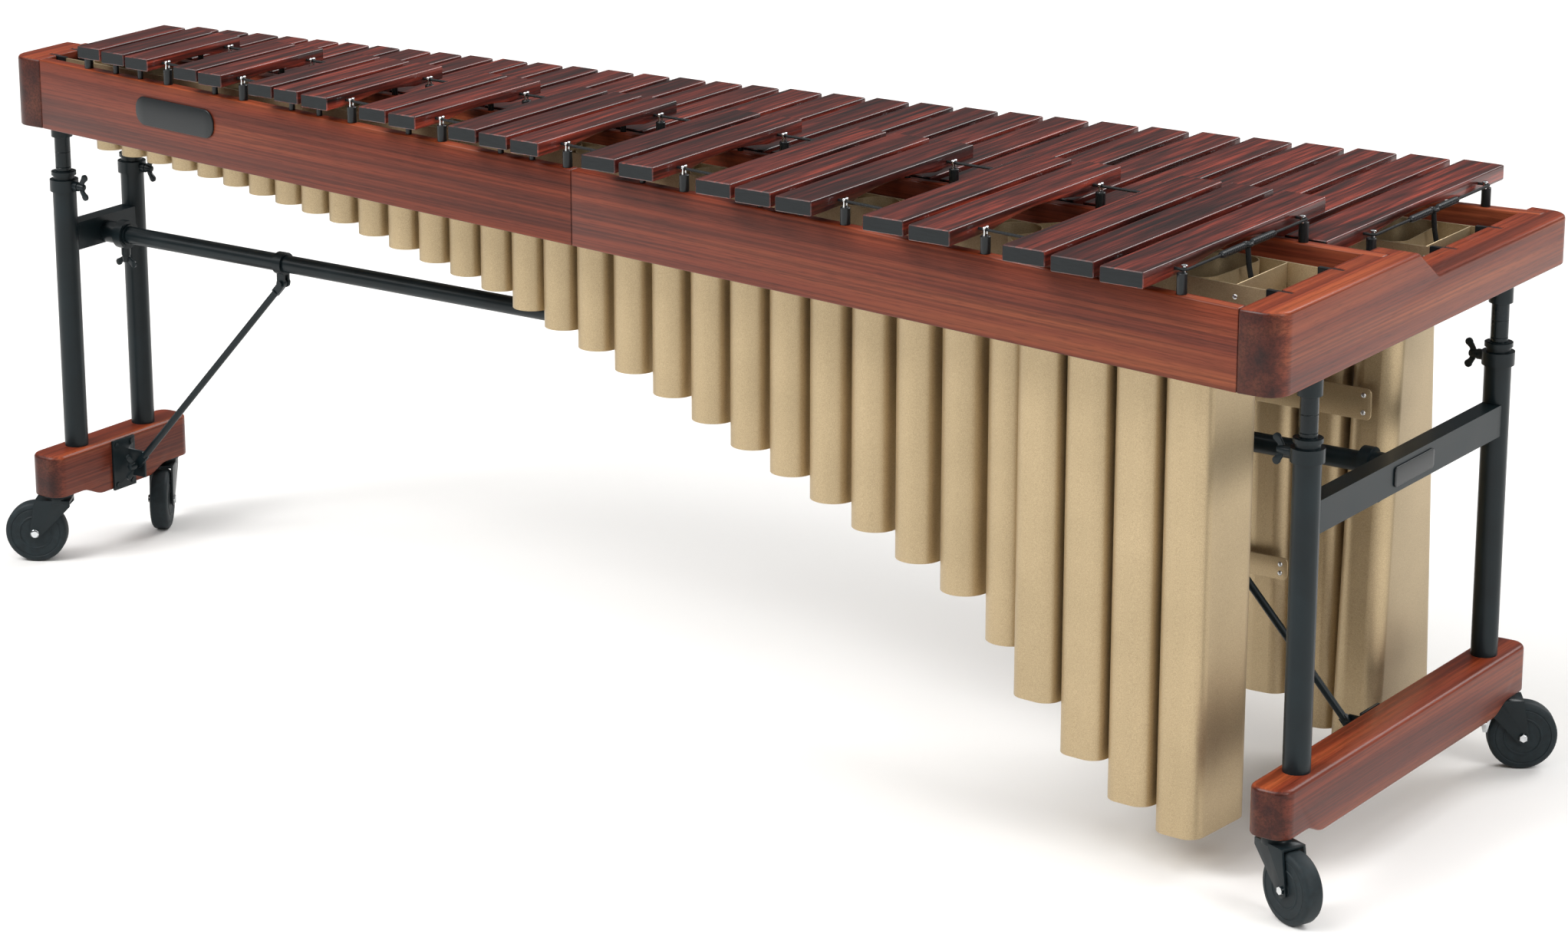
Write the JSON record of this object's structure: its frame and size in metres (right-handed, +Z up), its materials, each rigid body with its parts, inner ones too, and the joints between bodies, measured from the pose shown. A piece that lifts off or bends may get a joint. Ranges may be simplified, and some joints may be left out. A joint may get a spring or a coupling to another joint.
{
  "type": "concert marimba",
  "caption": "Concert marimba: two rows of graduated rosewood bars over tuned resonator tubes in a wooden frame, on a height-adjustable tubular stand with swivel casters.",
  "frame": {"origin": "on the floor, at the middle of the instrument's plan bounding box at rest", "axes": "+X runs along the keyboard to the low end with the long bars; -Y is the audience side, with the raised row of accidental bars; +Z is up"},
  "size_m": [2.5183, 0.956, 0.884],
  "materials": {
    "bar_rosewood": "clear satin-gloss lacquer over streaky rosewood, ends at the accidental side painted black",
    "frame_wood": "stained hardwood under clear gloss lacquer",
    "resonator_metal": "champagne gold fine metallic coat, satin",
    "stopper_metal": "plain matt disc inside the tube",
    "black_tube": "semi-gloss black powder coat",
    "chrome_steel": "chrome plated",
    "bright_steel": "bright zinc plated",
    "post_plastic": "satin black moulded sleeves with chrome plated prongs",
    "black_plastic": "satin moulded plastic",
    "cord_fabric": "braided cord",
    "sleeve_rubber": "ribbed matt rubber",
    "caster_fork_steel": "black coated pressed steel",
    "caster_tyre": "solid dark tyre with turned rings"
  },
  "bodies": {
    "stand": {"foot_low": "frame_wood", "foot_high": "frame_wood", "outer_leg_tubes": "black_tube", "leg_collars": "black_tube", "crossbar_low": "black_tube", "crossbar_high": "black_tube", "crossbar_blank_plate": "black_plastic", "stretcher_tube": "black_tube", "stretcher_clamps": "black_tube", "brace_collars": "black_tube", "brace_low": "black_tube", "brace_high": "black_tube", "brace_brackets": "black_tube", "brace_fasteners": "bright_steel", "caster_stems": "black_tube"},
    "table": {"end_board_low": "frame_wood", "end_board_high": "frame_wood", "front_rail_low": "frame_wood", "front_rail_high": "frame_wood", "back_rails": "frame_wood", "inner_rails_accidental": "frame_wood", "inner_rails_natural": "frame_wood", "front_blank_plate": "black_plastic", "accidental_bars_low": "bar_rosewood", "accidental_bars_high": "bar_rosewood", "natural_bars_low": "bar_rosewood", "natural_bars_high": "bar_rosewood", "cord_posts_accidental": "post_plastic", "cord_posts_natural": "post_plastic", "suspension_cords": "cord_fabric", "cord_tensioners": "sleeve_rubber", "accidental_round_resonators": "resonator_metal", "natural_round_resonators": "resonator_metal", "accidental_bass_resonators": "resonator_metal", "natural_bass_resonators": "resonator_metal", "resonator_stoppers": "stopper_metal", "accidental_hangers": "resonator_metal", "natural_hangers": "resonator_metal", "hanger_clips": "black_plastic", "bank_cross_plates": "resonator_metal", "inner_leg_tubes": "black_tube", "board_sockets": "black_tube"},
    "fork_low_front": {"caster_fork_low_front": "caster_fork_steel"},
    "wheel_low_front": {"caster_wheel_low_front": "caster_tyre"},
    "fork_low_back": {"caster_fork_low_back": "caster_fork_steel"},
    "wheel_low_back": {"caster_wheel_low_back": "caster_tyre"},
    "brake_low_back": {"brake_lever_low_back": "chrome_steel"},
    "fork_high_front": {"caster_fork_high_front": "caster_fork_steel"},
    "wheel_high_front": {"caster_wheel_high_front": "caster_tyre"},
    "fork_high_back": {"caster_fork_high_back": "caster_fork_steel"},
    "wheel_high_back": {"caster_wheel_high_back": "caster_tyre"},
    "brake_high_back": {"brake_lever_high_back": "chrome_steel"},
    "leg_bolt_low_front": {"leg_wing_bolt_low_front": "black_tube"},
    "leg_bolt_low_back": {"leg_wing_bolt_low_back": "black_tube"},
    "leg_bolt_high_front": {"leg_wing_bolt_high_front": "black_tube"},
    "leg_bolt_high_back": {"leg_wing_bolt_high_back": "black_tube"},
    "stretcher_bolt_low": {"stretcher_wing_bolt_low": "black_tube"},
    "brace_bolt_low": {"brace_wing_bolt_low": "black_tube"},
    "stretcher_bolt_high": {"stretcher_wing_bolt_high": "black_tube"},
    "brace_bolt_high": {"brace_wing_bolt_high": "black_tube"}
  },
  "joints": [
    {"name": "table_height", "type": "slide", "parent": "stand", "child": "table", "axis": [0, 0, 1], "range_m": [-0.045, 0.09]},
    {"name": "swivel_low_front", "type": "hinge", "parent": "stand", "child": "fork_low_front", "pos_m": [1.176, -0.33, 0.11], "axis": [0, 0, 1], "continuous": true},
    {"name": "roll_low_front", "type": "hinge", "parent": "fork_low_front", "child": "wheel_low_front", "pos_m": [1.21071, -0.34546, 0.05], "axis": [0.4067, 0.9135, 0], "continuous": true},
    {"name": "swivel_low_back", "type": "hinge", "parent": "stand", "child": "fork_low_back", "pos_m": [1.176, 0.33, 0.11], "axis": [0, 0, 1], "continuous": true},
    {"name": "roll_low_back", "type": "hinge", "parent": "fork_low_back", "child": "wheel_low_back", "pos_m": [1.20787, 0.3507, 0.05], "axis": [-0.5446, 0.8387, 0], "continuous": true},
    {"name": "brake_low_back", "type": "hinge", "parent": "fork_low_back", "child": "brake_low_back", "pos_m": [1.16594, 0.32346, 0.098], "axis": [0.5446, -0.8387, 0], "range_deg": [0, 6]},
    {"name": "swivel_high_front", "type": "hinge", "parent": "stand", "child": "fork_high_front", "pos_m": [-1.176, -0.128, 0.11], "axis": [0, 0, 1], "continuous": true},
    {"name": "roll_high_front", "type": "hinge", "parent": "fork_high_front", "child": "wheel_high_front", "pos_m": [-1.20823, -0.14814, 0.05], "axis": [0.5299, -0.848, 0], "continuous": true},
    {"name": "swivel_high_back", "type": "hinge", "parent": "stand", "child": "fork_high_back", "pos_m": [-1.176, 0.128, 0.11], "axis": [0, 0, 1], "continuous": true},
    {"name": "roll_high_back", "type": "hinge", "parent": "fork_high_back", "child": "wheel_high_back", "pos_m": [-1.1553, 0.09613, 0.05], "axis": [0.8387, 0.5446, 0], "continuous": true},
    {"name": "brake_high_back", "type": "hinge", "parent": "fork_high_back", "child": "brake_high_back", "pos_m": [-1.18254, 0.13806, 0.098], "axis": [-0.8387, -0.5446, 0], "range_deg": [0, 6]},
    {"name": "leg_bolt_low_front", "type": "hinge", "parent": "stand", "child": "leg_bolt_low_front", "pos_m": [1.1444, -0.28, 0.6205], "axis": [-1, 0, 0], "continuous": true},
    {"name": "leg_bolt_low_back", "type": "hinge", "parent": "stand", "child": "leg_bolt_low_back", "pos_m": [1.1444, 0.28, 0.6205], "axis": [-1, 0, 0], "continuous": true},
    {"name": "leg_bolt_high_front", "type": "hinge", "parent": "stand", "child": "leg_bolt_high_front", "pos_m": [-1.1444, -0.08, 0.6205], "axis": [1, 0, 0], "continuous": true},
    {"name": "leg_bolt_high_back", "type": "hinge", "parent": "stand", "child": "leg_bolt_high_back", "pos_m": [-1.1444, 0.08, 0.6205], "axis": [1, 0, 0], "continuous": true},
    {"name": "stretcher_bolt_low", "type": "hinge", "parent": "stand", "child": "stretcher_bolt_low", "pos_m": [1.123, 0, 0.4944], "axis": [0, 0, -1], "continuous": true},
    {"name": "brace_bolt_low", "type": "hinge", "parent": "stand", "child": "brace_bolt_low", "pos_m": [1.117, -0.0091, 0.141], "axis": [0, -1, 0], "continuous": true},
    {"name": "stretcher_bolt_high", "type": "hinge", "parent": "stand", "child": "stretcher_bolt_high", "pos_m": [-1.123, 0, 0.4944], "axis": [0, 0, -1], "continuous": true},
    {"name": "brace_bolt_high", "type": "hinge", "parent": "stand", "child": "brace_bolt_high", "pos_m": [-1.117, -0.0091, 0.141], "axis": [0, -1, 0], "continuous": true}
  ]
}
